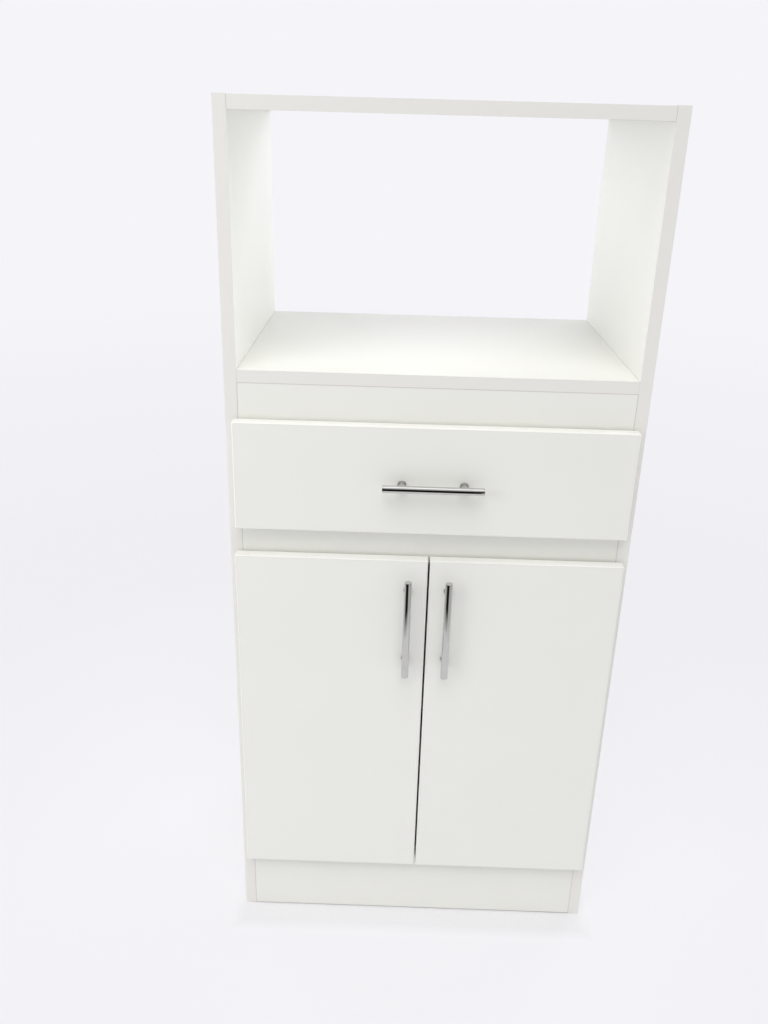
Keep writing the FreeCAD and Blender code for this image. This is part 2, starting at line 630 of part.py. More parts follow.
def make_bumpers():
    """Round soft pads on the front edges of the carcass, as thick as the gap behind the fronts."""
    soft_pad = turned("soft_pad", [
        ("0", "0"), ("bumper_dia/2", "0"), ("bumper_dia/2", "front_gap/2"), ("bumper_dia/3", "front_gap"),
        ("0", "front_gap")])
    at_gap, at_side = f"({DOOR_RIGHT} - bumper_inset)", f"(bumper_inset - {INNER})"
    spots = [(at_gap, f"{DOOR_HIGH} - door_lap_top/2"), (at_gap, f"{KICK_TOP} + {MID}"),
             (at_side, f"{DRAWER_HIGH} - drawer_lap_top/2"), (at_side, f"{DRAWER_LOW} + drawer_lap_bottom/2")]
    return [both_sides("front_bumpers", [copy_at(soft_pad, (x, "0", z), TO_FRONT) for x, z in spots])]


# ---------------------------------------------------------------- drawer

def make_drawer(post, bolt):
    """Front, box, fittings and handle of the drawer."""
    face = front("drawer_front", "drawer_reveal - width/2", "width/2 - drawer_reveal", DRAWER_LOW, DRAWER_HIGH)
    side_mid = f"({BOX_HALF} - box_board/2)"
    cams = [(f"{sign}{side_mid}", BOX_CAM) for sign in ("-", "")]
    pegs = [(f"{sign}{side_mid}", BOX_DOWEL) for sign in ("-", "")]
    groove_low, groove_high = BASE, f"{BASE} + base_board + groove_play"
    drill(face, "XZ_Plane", "front_gap", cams, "bolt_thread + 2*drill_play", "bolt_bite + drill_play", True)
    drill(face, "XZ_Plane", "front_gap", pegs, "box_dowel_dia + 2*drill_play", "dowel_bite + drill_play", True)
    slot = sketch(face, "XZ_Plane", "front_gap")
    rectangle(slot, f"-{BOX_INSIDE} - groove_depth", groove_low, f"{BOX_INSIDE} + groove_depth", groove_high)
    pocket(face, slot, "groove_depth", True)
    handle_holes(face, [(f"{sign}post_pitch/2", DRAWER_BAR_Z) for sign in ("-", "")])

    side = block("drawer_left_side", f"-{BOX_HALF}", f"-{BOX_INSIDE}", "-front_gap", BOX_REAR, BOX_LOW, BOX_TOP)
    slot = sketch(side, "XZ_Plane", "front_gap")
    rectangle(slot, f"-{BOX_INSIDE} - groove_depth", groove_low, f"-{BOX_INSIDE} + groove_depth", groove_high)
    pocket(side, slot, "box_length")
    drill(side, "XZ_Plane", "front_gap", cams[:1], "box_bolt_dia + 2*drill_play", "box_setback")
    drill(side, "XZ_Plane", "front_gap", pegs[:1], "box_dowel_dia + 2*drill_play",
          "box_dowel_length - dowel_bite + drill_play")
    drill(side, "YZ_Plane", f"-{BOX_INSIDE}", [("box_setback - front_gap", BOX_CAM)],
          "box_cam_dia + 2*drill_play", "box_cam_depth + drill_play")
    runner_spots = [(y, TRACK_MID) for y in RUNNER_ROWS]
    drill(side, "YZ_Plane", f"-{BOX_HALF}", runner_spots, "wood_screw + 2*drill_play", "screw_bite + drill_play", True)
    back_spots = [(f"{BOX_REAR} - box_board/2", z) for z in (BOX_CAM, BOX_DOWEL)]
    drill(side, "YZ_Plane", f"-{BOX_HALF}", back_spots, "wood_screw + 2*drill_play", "box_board", True)

    rear = block("drawer_back", f"-{BOX_INSIDE}", BOX_INSIDE, f"{BOX_REAR} - box_board", BOX_REAR, BOX_LOW, BOX_TOP)
    slot = sketch(rear, "XZ_Plane", f"box_board - {BOX_REAR}")
    rectangle(slot, f"-{BOX_INSIDE}", groove_low, BOX_INSIDE, groove_high)
    pocket(rear, slot, "groove_depth")
    bite = "box_screw_length - box_board + drill_play"
    for plane, inward in ((f"-{BOX_INSIDE}", True), (BOX_INSIDE, False)):
        drill(rear, "YZ_Plane", plane, back_spots, "wood_screw + 2*drill_play", bite, inward)

    in_groove = f"({BOX_INSIDE} + groove_depth - groove_play)"
    base = block("drawer_bottom", f"-{in_groove}", in_groove, "groove_play - groove_depth - front_gap",
                 f"{BOX_REAR} - box_board + groove_depth - groove_play", BASE, f"{BASE} + base_board")

    lock = cam_lock("box_cam_lock", "box_cam_dia", "box_cam_depth", "box_bolt_dia", "(box_board/2)")
    rod = cam_bolt("box_cam_bolt", "bolt_bite", "box_bolt_dia", "box_setback")
    peg = dowel("box_dowel", "box_dowel_dia", "box_dowel_length", "dowel_bite")
    fixing = screw("box_screw", "wood_screw", "wood_screw_head", "box_screw_length")
    into_side = Turn(Vector(0, 1, 0), -90) * ON_END
    lock_copy = copy_at(lock, (f"-{BOX_INSIDE}", "box_setback - front_gap", BOX_CAM), into_side)
    rod_copy = copy_at(rod, (f"-{side_mid}", "-front_gap", BOX_CAM), TO_REAR)
    peg_copy = copy_at(peg, (f"-{side_mid}", "-front_gap", BOX_DOWEL), TO_REAR)
    fixings = [copy_at(fixing, (f"-{BOX_HALF}", y, z), Turn(Vector(0, 1, 0), -90)) for y, z in back_spots]
    pieces = [face, side, mirrored("drawer_right_side", side), rear, base,
              both_sides("drawer_cam_locks", [lock_copy]), both_sides("drawer_cam_bolts", [rod_copy]),
              both_sides("drawer_dowels", [peg_copy]), both_sides("drawer_box_screws", fixings)]
    return pieces + make_handle("drawer", post, bolt, "0", DRAWER_BAR_Z, False)


# ---------------------------------------------------------------- roller runners

def cabinet_runner():
    """A channel on the side panel; its flanges stop short of the roller at the front end."""
    wall = f"-{INNER}"
    low, high = BOX_LOW, f"({BOX_LOW} + {TRACK_HEIGHT})"
    body = block("left_cabinet_runner", wall, f"{wall} + sheet_metal", "0", BOX_REAR,
                 f"{low} - sheet_metal", f"{high} + sheet_metal")
    for level in (f"{low} - sheet_metal", high):
        flange = sketch(body, "XY_Plane", level)
        rectangle(flange, wall, "roller_set + flange_start", f"{wall} + track_width", BOX_REAR)
        pad(body, flange, "sheet_metal")
    drill(body, "YZ_Plane", wall, RUNNER_SCREWS, "wood_screw + 2*drill_play", "sheet_metal", True)
    drill(body, "YZ_Plane", wall, [("roller_set", FRONT_ROLLER)], "axle_dia + 2*axle_play", "sheet_metal", True)
    return body


def drawer_runner():
    """An angle under the drawer side with an outer flange that rides over the front roller."""
    outside = f"(-{BOX_HALF})"
    body = block("left_drawer_runner", f"{outside} - sheet_metal", outside, "-front_gap", BOX_REAR,
                 f"{BOX_LOW} - sheet_metal", f"{FLANGE} + sheet_metal")
    ledge = sketch(body, "XY_Plane", f"{BOX_LOW} - sheet_metal")
    rectangle(ledge, f"{outside} - sheet_metal", "-front_gap", f"{outside} + box_board", BOX_REAR)
    pad(body, ledge, "sheet_metal")
    wing = sketch(body, "XY_Plane", FLANGE)
    rectangle(wing, f"{outside} - flange_width", "-front_gap", outside, BOX_REAR)
    pad(body, wing, "sheet_metal")
    spots = [(y, TRACK_MID) for y in RUNNER_ROWS]
    drill(body, "YZ_Plane", outside, spots, "wood_screw + 2*drill_play", "sheet_metal")
    drill(body, "YZ_Plane", outside, [(REAR_ROLLER_Y, TRACK_MID)], "axle_dia + 2*axle_play", "sheet_metal")
    return body


def make_runners():
    """Runners, rollers, rivets and screws of both sides."""
    cabinet, drawer = cabinet_runner(), drawer_runner()
    bore = "(axle_dia/2 + axle_play)"
    rim = "(roller_dia/2)"
    tyre = [(bore, "0"), (f"{rim} - axle_dia/4", "0"), (rim, "axle_dia/4"), (rim, "roller_width - axle_dia/4"),
            (f"{rim} - axle_dia/4", "roller_width"), (bore, "roller_width")]
    from_wall = f"({INNER} - sheet_metal - roller_side)"
    from_box = f"({BOX_HALF} + sheet_metal + roller_side)"
    to_left = Turn(Vector(0, 1, 0), -90)
    front_roller = turned("left_front_roller", tyre, (f"-{from_wall}", "roller_set", FRONT_ROLLER), TO_RIGHT)
    rear_roller = turned("left_rear_roller", tyre, (f"-{from_box}", REAR_ROLLER_Y, TRACK_MID), to_left)
    reach = "(roller_side + roller_width + roller_play)"
    rivet = turned("roller_rivet", [
        ("0", "-sheet_metal"), ("axle_dia/2", "-sheet_metal"), ("axle_dia/2", "0"), ("axle_head/2", "0"),
        ("axle_head/2", "roller_side - roller_play"), ("axle_dia/2", "roller_side - roller_play"),
        ("axle_dia/2", reach), ("axle_head/2", reach), ("axle_head/2", f"{reach} + sheet_metal"),
        ("0", f"{reach} + sheet_metal")])
    on_wall = copy_at(rivet, (f"sheet_metal - {INNER}", "roller_set", FRONT_ROLLER), TO_RIGHT)
    on_box = copy_at(rivet, (f"-{BOX_HALF} - sheet_metal", REAR_ROLLER_Y, TRACK_MID), to_left)
    fixing = screw("runner_screw", "wood_screw", "wood_screw_head", "screw_bite", "sheet_metal")
    in_wall = [copy_at(fixing, (f"-{INNER}", y, z), TO_RIGHT) for y, z in RUNNER_SCREWS]
    in_box = [copy_at(fixing, (f"-{BOX_HALF}", y, z), to_left) for y, z in RUNNER_SCREWS]
    pieces = [cabinet, drawer, front_roller, rear_roller]
    pieces += [mirrored(piece.Label.replace("left", "right"), piece) for piece in pieces]
    return pieces + [both_sides("cabinet_roller_rivets", [on_wall]), both_sides("drawer_roller_rivets", [on_box]),
                     both_sides("cabinet_runner_screws", in_wall), both_sides("drawer_runner_screws", in_box)]


# ---------------------------------------------------------------- hinges

def hinge_cup():
    """A round cup, open towards +z, with a winged flange, a pair of inner ears and a cross bore for the pin.

    The flange is cut off near the door edge, so that it swings past the front edge of the side panel.
    """
    radius = "(cup_dia/2)"
    pin_x = f"(hinge_pin_edge - cup_edge - {radius})"
    cup = doc.addObject("PartDesign::Body", "hinge_cup")
    flange = sketch(cup, "XY_Plane")
    near, far = f"(cup_wall/2 - {radius})", f"({radius} + 2*cup_wall)"
    wing_in, wing_out = "(cup_screw_set - cup_ear)", "(cup_screw_set + cup_ear)"
    wing_end = "(cup_screw_pitch/2 + cup_ear)"
    upper = [(near, f"{radius}/2"), (f"-{radius}/2", f"{radius} + cup_wall"), (wing_in, f"{radius} + cup_wall"),
             (wing_in, wing_end), (wing_out, wing_end), (far, f"{radius}")]
    polygon(flange, [(x, f"-({y})") for x, y in reversed(upper)] + upper)
    pad(cup, flange, "cup_wall")
    drum = sketch(cup, "XY_Plane", "-cup_depth")
    circle(drum, "0", "0", "cup_dia")
    pad(cup, drum, "cup_depth")
    drill(cup, "XY_Plane", "cup_wall", [("0", "0")], "cup_dia - 2*cup_wall", "cup_depth")
    ear_in, ear_out = "(hook_width/2 + ear_play)", f"({radius}/2)"
    for near_y, far_y in ((ear_in, ear_out), (f"-{ear_out}", f"-{ear_in}")):
        ear = sketch(cup, "XY_Plane", "cup_wall/2 - cup_depth")
        rectangle(ear, f"{pin_x} - knuckle_in", near_y, f"{pin_x} + knuckle_out", far_y)
        pad(cup, ear, "cup_depth - hinge_pin_depth + hinge_pin_dia")
    drill(cup, "XZ_Plane", f"-{radius}", [(pin_x, "-hinge_pin_depth")], "hinge_pin_dia + 2*axle_play", "cup_dia", True)
    spots = [("cup_screw_set", f"{sign}cup_screw_pitch/2") for sign in ("-", "")]
    drill(cup, "XY_Plane", "cup_wall", spots, "wood_screw + 2*drill_play", "cup_wall")
    return cup


def hinge_arm():
    """A hooked arm: an eye round the pin, a leg across the cup, and a straight that lies on the mounting plate.

    Its origin is the pin, x runs away from the side panel and y into the cabinet.
    """
    eye = "(hinge_pin_dia/2 + axle_play + eye_wall)"
    inside, outside = "(arm_offset - arm_thick/2)", "(arm_offset + arm_thick/2)"
    step = f"(plate_row - plate_length/2 - {HINGE_Y})"
    arm = doc.addObject("PartDesign::Body", "hinge_arm")
    hook = sketch(arm, "XY_Plane", "-hook_width/2")
    polygon(hook, [("0", "-arm_thick/2"), (outside, "-arm_thick/2"), (outside, step), (inside, step),
                   (inside, "arm_thick/2"), ("0", "arm_thick/2")])
    pad(arm, hook, "hook_width")
    round_edges(arm, "arm_thick", lambda edge: along(edge, 2)
                and abs(edge.CenterOfMass.x - value(outside)) < 0.01 and edge.CenterOfMass.y < 0)
    ring = sketch(arm, "XY_Plane", "-hook_width/2")
    circle(ring, "0", "0", f"2*{eye}")
    pad(arm, ring, "hook_width")
    straight = sketch(arm, "XY_Plane", "-arm_width/2")
    rectangle(straight, inside, step, outside, "arm_length")
    pad(arm, straight, "arm_width")
    round_edges(arm, "arm_thick", lambda edge: along(edge, 0) and abs(edge.CenterOfMass.z) > value("arm_width/2") - 0.01)
    drill(arm, "XY_Plane", "-hook_width/2", [("0", "0")], "hinge_pin_dia + 2*axle_play", "hook_width", True)
    holes = [(f"{y} - {HINGE_Y}", "0") for y in ARM_SCREWS]
    drill(arm, "YZ_Plane", inside, holes, "arm_screw + 2*drill_play", "arm_thick", True)
    return arm


def mounting_plate():
    """A rail on a pair of wings, x away from the side panel, with its origin between the wing screws."""
    plate = doc.addObject("PartDesign::Body", "mounting_plate")
    rail_plan = sketch(plate, "YZ_Plane")
    rectangle(rail_plan, "-plate_length/2", "-plate_rail/2", "plate_length/2", "plate_rail/2")
    pad(plate, rail_plan, PLATE_TOP)
    wings = sketch(plate, "YZ_Plane")
    half = "(euro_head/2 + plate_wing)"
    taper = "(plate_span/2 - plate_wing)"
    polygon(wings, [(f"-{half}", f"-{taper}"), (f"plate_wing - {half}", "-plate_span/2"),
                    (f"{half} - plate_wing", "-plate_span/2"), (half, f"-{taper}"), (half, taper),
                    (f"{half} - plate_wing", "plate_span/2"), (f"plate_wing - {half}", "plate_span/2"),
                    (f"-{half}", taper)])
    pad(plate, wings, "plate_wing")
    spots = [("0", f"{sign}plate_screw_pitch/2") for sign in ("-", "")]
    drill(plate, "YZ_Plane", "0", spots, "bolt_thread + 2*drill_play", "plate_wing", True)
    holes = [(f"{y} - plate_row", "0") for y in ARM_SCREWS]
    drill(plate, "YZ_Plane", PLATE_TOP, holes, "arm_screw + 2*drill_play", f"{PLATE_TOP} - plate_wing")
    return plate


def make_hinges():
    """Two hinges to a door: cups, pins and screws on the door, arms, plates and screws on the carcass."""
    face = f"-{INNER}"
    cup, arm, plate = hinge_cup(), hinge_arm(), mounting_plate()
    pin_half = "(cup_dia/4 - axle_play)"
    pin = turned("hinge_pin", [("0", f"-{pin_half}"), ("hinge_pin_dia/2", f"-{pin_half}"),
                               ("hinge_pin_dia/2", pin_half), ("0", pin_half)])
    cup_screw = screw("cup_screw", "wood_screw", "wood_screw_head", "screw_bite", "cup_wall")
    wing_screw = screw("euro_screw", "bolt_thread", "euro_head", "bolt_bite", "plate_wing")
    arm_bolt = screw("arm_bolt", "arm_screw", "2*arm_screw", f"({PLATE_TOP} - plate_wing - drill_play)",
                     "arm_thick")
    cups = [copy_at(cup, (CUP_X, "-front_gap", z), TO_REAR) for z in HINGE_HEIGHTS]
    pins = [copy_at(pin, (HINGE_X, HINGE_Y, z)) for z in HINGE_HEIGHTS]
    cup_screws = [copy_at(cup_screw, (f"{CUP_X} + cup_screw_set", "-front_gap", f"{z} {sign} cup_screw_pitch/2"),
                          TO_REAR) for z in HINGE_HEIGHTS for sign in "+-"]
    arms = [copy_at(arm, (HINGE_X, HINGE_Y, z)) for z in HINGE_HEIGHTS]
    plates = [copy_at(plate, (face, "plate_row", z)) for z in HINGE_HEIGHTS]
    wing_screws = [copy_at(wing_screw, (face, y, z), TO_RIGHT) for y, z in PLATE_SCREWS]
    arm_bolts = [copy_at(arm_bolt, (f"{face} + {PLATE_TOP}", y, z), TO_RIGHT)
                 for z in HINGE_HEIGHTS for y in ARM_SCREWS]
    sets = {"hinge_cups": cups, "hinge_pins": pins, "cup_screws": cup_screws,
            "hinge_arms": arms, "hinge_plates": plates}
    pieces = []
    for name, members in sets.items():
        left = group(f"left_{name}", members)
        pieces += [left, mirrored(f"right_{name}", left)]
    return pieces + [both_sides("plate_screws", wing_screws), both_sides("arm_screws", arm_bolts)]


# ---------------------------------------------------------------- the whole

def make_all():
    post = handle_post()
    bolt = screw("handle_bolt", "handle_screw", "2*handle_screw", "handle_bite", "front_board")
    pieces = make_carcass() + make_fittings() + make_bumpers()
    pieces += make_drawer(post, bolt) + make_runners()
    pieces += make_doors(post, bolt) + make_hinges()
    return pieces


def export(pieces):
    """Checks the document and writes each piece to its own file."""
    doc.recompute()
    for thing in doc.Objects:
        if "Invalid" in thing.State or "Error" in thing.State:
            raise RuntimeError(f"{thing.Label} is {thing.State}")
    for piece in pieces:
        if piece.Shape.isNull() or not piece.Shape.isValid() or not piece.Shape.Solids:
            raise RuntimeError(f"{piece.Label} has no valid solid")
    os.makedirs("parts", exist_ok=True)
    for piece in pieces:
        piece.Shape.exportStep(f"parts/{piece.Label}.step")
    print(f"{len(pieces)} pieces, {sum(len(piece.Shape.Solids) for piece in pieces)} solids")


export(make_all())
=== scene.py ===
import math

import bpy
import numpy as np
from mathutils import Matrix, Vector


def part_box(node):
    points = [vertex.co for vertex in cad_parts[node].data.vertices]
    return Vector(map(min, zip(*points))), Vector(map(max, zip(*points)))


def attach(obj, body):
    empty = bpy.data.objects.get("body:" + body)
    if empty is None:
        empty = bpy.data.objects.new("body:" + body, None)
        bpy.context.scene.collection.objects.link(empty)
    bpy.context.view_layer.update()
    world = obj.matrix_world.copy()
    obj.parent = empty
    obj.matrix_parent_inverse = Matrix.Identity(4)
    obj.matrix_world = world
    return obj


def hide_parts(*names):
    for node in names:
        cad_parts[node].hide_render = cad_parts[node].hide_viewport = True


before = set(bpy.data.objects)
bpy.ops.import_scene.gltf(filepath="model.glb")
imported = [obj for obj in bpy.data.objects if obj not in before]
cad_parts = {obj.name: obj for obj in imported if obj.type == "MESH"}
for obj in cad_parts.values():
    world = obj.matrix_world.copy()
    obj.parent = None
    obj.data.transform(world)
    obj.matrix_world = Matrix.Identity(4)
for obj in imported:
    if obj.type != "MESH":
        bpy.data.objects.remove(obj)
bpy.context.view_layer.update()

MM = 0.001
RIGHT, REAR, UP = np.eye(3)


# ---------------------------------------------------------------- surfaces

ARC_POINTS = 6
SHARP_ANGLE = math.radians(32)


def arc(middle, radius, start, end):
    """Points of a circle's arc: middle plus radius times (cos a, sin a), with a in even steps of degrees."""
    a = np.radians(np.linspace(start, end, ARC_POINTS))
    return np.stack([middle[0] + radius * np.cos(a), middle[1] + radius * np.sin(a)], axis=1)


def line(*points):
    return np.array(points, dtype=float)


def revolve(profile, turns):
    """A closed turned surface: the profile's (radius, height) is carried round the z axis, so that the point at
    angle t is (r cos t, r sin t, h). The profile starts and ends on the axis, in one point each."""
    rows = profile[1:-1]
    count = len(rows)
    t = np.linspace(0, 2 * np.pi, turns, endpoint=False)
    points = np.stack([np.outer(rows[:, 0], np.cos(t)), np.outer(rows[:, 0], np.sin(t)),
                       np.repeat(rows[:, 1:], turns, axis=1)], axis=2).reshape(-1, 3)
    i, j = np.meshgrid(np.arange(count - 1), np.arange(turns), indexing="ij")
    up, on = i + 1, (j + 1) % turns
    quads = np.stack([i * turns + j, i * turns + on, up * turns + on, up * turns + j], axis=2).reshape(-1, 4)

    low, high, last = len(points), len(points) + 1, (count - 1) * turns
    points = np.vstack([points, [[0, 0, profile[0, 1]], [0, 0, profile[-1, 1]]]])
    j = np.arange(turns)
    on = (j + 1) % turns
    low_fan = np.stack([np.full(turns, low), on, j], axis=1)
    high_fan = np.stack([np.full(turns, high), last + j, last + on], axis=1)
    return points, quads.tolist() + low_fan.tolist() + high_fan.tolist()


def stand(shape, spot, axis):
    """The shape with its z axis laid along axis and its origin at spot."""
    points, faces = shape
    across = RIGHT if abs(axis[0]) < 0.5 else UP
    return points @ np.stack([across, np.cross(axis, across), axis]) + spot, faces


def piece(name, shapes, finish, body, stands_for):
    """One object from several shapes, smooth except over sharp edges, in place of CAD nodes."""
    points, faces, start = [], [], 0
    for part_points, part_faces in shapes:
        points.append(part_points)
        faces += [[index + start for index in face] for face in part_faces]
        start += len(part_points)
    mesh = bpy.data.meshes.new(name)
    mesh.from_pydata(np.vstack(points).tolist(), [], faces)
    mesh.polygons.foreach_set("use_smooth", [True] * len(mesh.polygons))
    mesh.set_sharp_from_angle(angle=SHARP_ANGLE)
    mesh.materials.append(finish)
    made = bpy.data.objects.new(name, mesh)
    bpy.context.collection.objects.link(made)
    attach(made, body)
    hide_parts(*stands_for)


def corners(name):
    """The low and the high corner of a CAD node's box."""
    low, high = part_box(name)
    return np.array(low), np.array(high)


# ---------------------------------------------------------------- shader nodes

def node(tree, kind, inputs=None, **settings):
    """A shader node; an input given as a socket is linked, any other is set."""
    made = tree.nodes.new(kind)
    for name, value in settings.items():
        setattr(made, name, value)
    for key, value in (inputs or {}).items():
        if isinstance(value, bpy.types.NodeSocket):
            tree.links.new(value, made.inputs[key])
        else:
            made.inputs[key].default_value = value
    return made


def calc(tree, how, first, second=0.0):
    return node(tree, "ShaderNodeMath", {0: first, 1: second}, operation=how).outputs[0]


def split(tree, place):
    """The X, Y and Z of a vector."""
    return node(tree, "ShaderNodeSeparateXYZ", {0: place}).outputs


def length(tree, place):
    return node(tree, "ShaderNodeVectorMath", {0: place}, operation="LENGTH").outputs["Value"]


def fade(tree, value, start, end, low=0.0, high=1.0):
    """The value led evenly from low at start to high at end, and held outside."""
    return node(tree, "ShaderNodeMapRange", {"Value": value, "From Min": start, "From Max": end,
                                             "To Min": low, "To Max": high}).outputs["Result"]


def spread(tree, grey, low=0.0, high=1.0):
    """Noise, which seldom leaves 0.3 to 0.7, led from low to high."""
    return fade(tree, grey, 0.3, 0.7, low, high)


def mix(tree, share, first, second):
    """The first colour, and the second by its share."""
    made = node(tree, "ShaderNodeMix", data_type="RGBA")
    for socket, value in ((made.inputs[0], share), (made.inputs[6], first), (made.inputs[7], second)):
        if isinstance(value, bpy.types.NodeSocket):
            tree.links.new(value, socket)
        else:
            socket.default_value = value
    return made.outputs[2]


def noise(tree, place, scale, detail, stretch=None):
    """Grey noise with features of about 1/scale metres, drawn out along an axis where its stretch is below 1."""
    if stretch:
        place = node(tree, "ShaderNodeMapping", {"Vector": place, "Scale": stretch}).outputs[0]
    return node(tree, "ShaderNodeTexNoise", {"Vector": place, "Scale": scale, "Detail": detail}).outputs["Fac"]


def new_finish(name):
    made = bpy.data.materials.new(name)
    made.use_nodes = True
    tree = made.node_tree
    tree.nodes.clear()
    shader = node(tree, "ShaderNodeBsdfPrincipled")
    tree.links.new(shader.outputs[0], node(tree, "ShaderNodeOutputMaterial").inputs["Surface"])
    place = node(tree, "ShaderNodeTexCoord").outputs["Object"]
    return made, tree, shader, place


def show(tree, surface):
    """Lets the material's output show another surface than the shader that it was made with."""
    out = next(n for n in tree.nodes if n.type == "OUTPUT_MATERIAL")
    tree.links.new(surface, out.inputs["Surface"])


def bump(tree, shader, height, distance, strength, under=None):
    inputs = {"Height": height, "Distance": distance, "Strength": strength}
    if under:
        inputs["Normal"] = under
    tree.links.new(node(tree, "ShaderNodeBump", inputs).outputs[0], shader.inputs["Normal"])


# ---------------------------------------------------------------- finishes

MELAMINE, MELAMINE_CLOUD = (0.825, 0.827, 0.785, 1), (0.80, 0.80, 0.765, 1)
MELAMINE_SPECK, MELAMINE_SHINE = (0.74, 0.73, 0.70, 1), 0.42
EDGING, EDGING_ROUGH = (0.80, 0.79, 0.755, 1), 0.28
# The doors' and drawer front's edging colours are lighter than EDGING: a slightly whiter edge band, lightened
# further as a painted highlight on the rounded edges, most of all on the drawer front's top edge.
DOOR_EDGING_HIGHLIGHT, DRAWER_EDGING_HIGHLIGHT = (0.845, 0.84, 0.81, 1), (0.90, 0.895, 0.865, 1)
BOARD_BAND, FRONT_BAND = 0.8 * MM, 2 * MM
SEAM = (0.30, 0.26, 0.21, 1)
GLUE_SHARE, SEAM_SHARE, SHELF_SEAM_SHARE = 0.45, 0.8, 0.35
CHIP_DARK, CHIP_LIGHT = (0.50, 0.36, 0.22, 1), (0.74, 0.58, 0.39, 1)
FIBRE_DARK, FIBRE_LIGHT = (0.245, 0.145, 0.078, 1), (0.32, 0.197, 0.108, 1)
FIBRE_FLECK = (0.50, 0.36, 0.22, 1)
LACQUER_LIGHT, LACQUER_DARK, LACQUER_DEPTH = (0.80, 0.79, 0.76, 1), (0.77, 0.76, 0.73, 1), 0.15 * MM
CHROME_DARK, CHROME_LIGHT = (0.60, 0.597, 0.59, 1), (0.65, 0.647, 0.64, 1)
POWDER_DARK, POWDER_LIGHT = (0.76, 0.76, 0.74, 1), (0.80, 0.80, 0.78, 1)
BEECH_DARK, BEECH_LIGHT = (0.52, 0.34, 0.18, 1), (0.68, 0.49, 0.29, 1)


def board_finish(name, seams="", seam_share=SEAM_SHARE, edging_and_highlight=EDGING, band=BOARD_BAND):
    """Melamine over particle board for one board, from how deep a point lies under the board's faces: the edging
    within the band of an edge, a fine glue line behind it, a dark joint at the seams, bare chips inside the
    drillings. On the doors and the drawer front the edging colour is lighter: a slightly whiter edge band, and
    mostly a painted highlight on the rounded edges. The seams are x for both ends, Z for the upper edge."""
    low, high = corners(name)
    thin = int(np.argmin(high - low))
    made, tree, shader, place = new_finish(f"{name}_board")
    axes = split(tree, place)
    below = [calc(tree, "SUBTRACT", axes[k], float(low[k])) for k in range(3)]
    above = [calc(tree, "SUBTRACT", float(high[k]), axes[k]) for k in range(3)]
    deep = [calc(tree, "MINIMUM", below[k], above[k]) for k in range(3)]
    first, second = [k for k in range(3) if k != thin]
    edge = calc(tree, "MINIMUM", deep[first], deep[second])
    inside = calc(tree, "MINIMUM", edge, deep[thin])
    in_band = fade(tree, edge, band, band + 0.1 * MM, 1, 0)

    clouds = noise(tree, place, 9, 3)
    specks = noise(tree, place, 2600, 1)
    tone = mix(tree, fade(tree, clouds, 0.35, 0.7, 0, 0.35), MELAMINE, MELAMINE_CLOUD)
    tone = mix(tree, fade(tree, specks, 0.62, 0.75, 0, 0.18), tone, MELAMINE_SPECK)
    # Edging band colour; on the doors and the drawer front its lighter colour is mostly a painted highlight.
    tone = mix(tree, in_band, tone, edging_and_highlight)
    past_edging = fade(tree, edge, band, band + 0.05 * MM)
    before_face = fade(tree, edge, band + 0.15 * MM, band + 0.3 * MM, 1, 0)
    glue = calc(tree, "MULTIPLY", past_edging, before_face)
    tone = mix(tree, calc(tree, "MULTIPLY", glue, GLUE_SHARE), tone, SEAM)
    for letter, gap in (("x", deep[0]), ("Z", above[2])):
        if letter in seams:
            tone = mix(tree, fade(tree, gap, 0.25 * MM, 0.6 * MM, seam_share, 0), tone, SEAM)
    chips = noise(tree, place, 700, 3)
    wood = mix(tree, fade(tree, chips, 0.35, 0.65), CHIP_DARK, CHIP_LIGHT)
    tone = mix(tree, fade(tree, inside, 0.8 * MM, 1 * MM), tone, wood)
    tree.links.new(tone, shader.inputs["Base Color"])

    smudges = noise(tree, place, 5, 4)
    rough = fade(tree, smudges, 0.3, 0.75, 0.34, 0.46)
    rough = node(tree, "ShaderNodeMix", {0: in_band, 2: rough, 3: EDGING_ROUGH}).outputs[0]
    tree.links.new(rough, shader.inputs["Roughness"])
    shader.inputs["Specular IOR Level"].default_value = MELAMINE_SHINE
    eased = node(tree, "ShaderNodeBevel", {"Radius": 0.5 * MM}, samples=4).outputs[0]
    bump(tree, shader, noise(tree, place, 900, 2), 0.02 * MM, 0.5, eased)
    return made


def hardboard_finish(name, axis, white_low):
    """Hardboard with a white lacquered face, low or high along the axis; the rest is brown and fibrous."""
    low, high = corners(name)
    made, tree, shader, place = new_finish(f"{name}_hardboard")
    along = split(tree, place)[axis]
    if white_low:
        skin = float(low[axis]) + LACQUER_DEPTH
        white = fade(tree, along, skin, skin + LACQUER_DEPTH, 1, 0)
    else:
        skin = float(high[axis]) - LACQUER_DEPTH
        white = fade(tree, along, skin - LACQUER_DEPTH, skin)
    fibres = noise(tree, place, 90, 7, (1, 1, 0.6))
    flecks = noise(tree, place, 1500, 2)
    brown = mix(tree, spread(tree, fibres), FIBRE_DARK, FIBRE_LIGHT)
    brown = mix(tree, fade(tree, flecks, 0.62, 0.76, 0, 0.25), brown, FIBRE_FLECK)
    lacquer = mix(tree, fade(tree, noise(tree, place, 14, 2), 0.35, 0.7), LACQUER_LIGHT, LACQUER_DARK)
    tree.links.new(mix(tree, white, brown, lacquer), shader.inputs["Base Color"])
    tree.links.new(fade(tree, white, 0, 1, 0.75, 0.4), shader.inputs["Roughness"])
    bump(tree, shader, fibres, 0.08 * MM, 0.6)
    return made


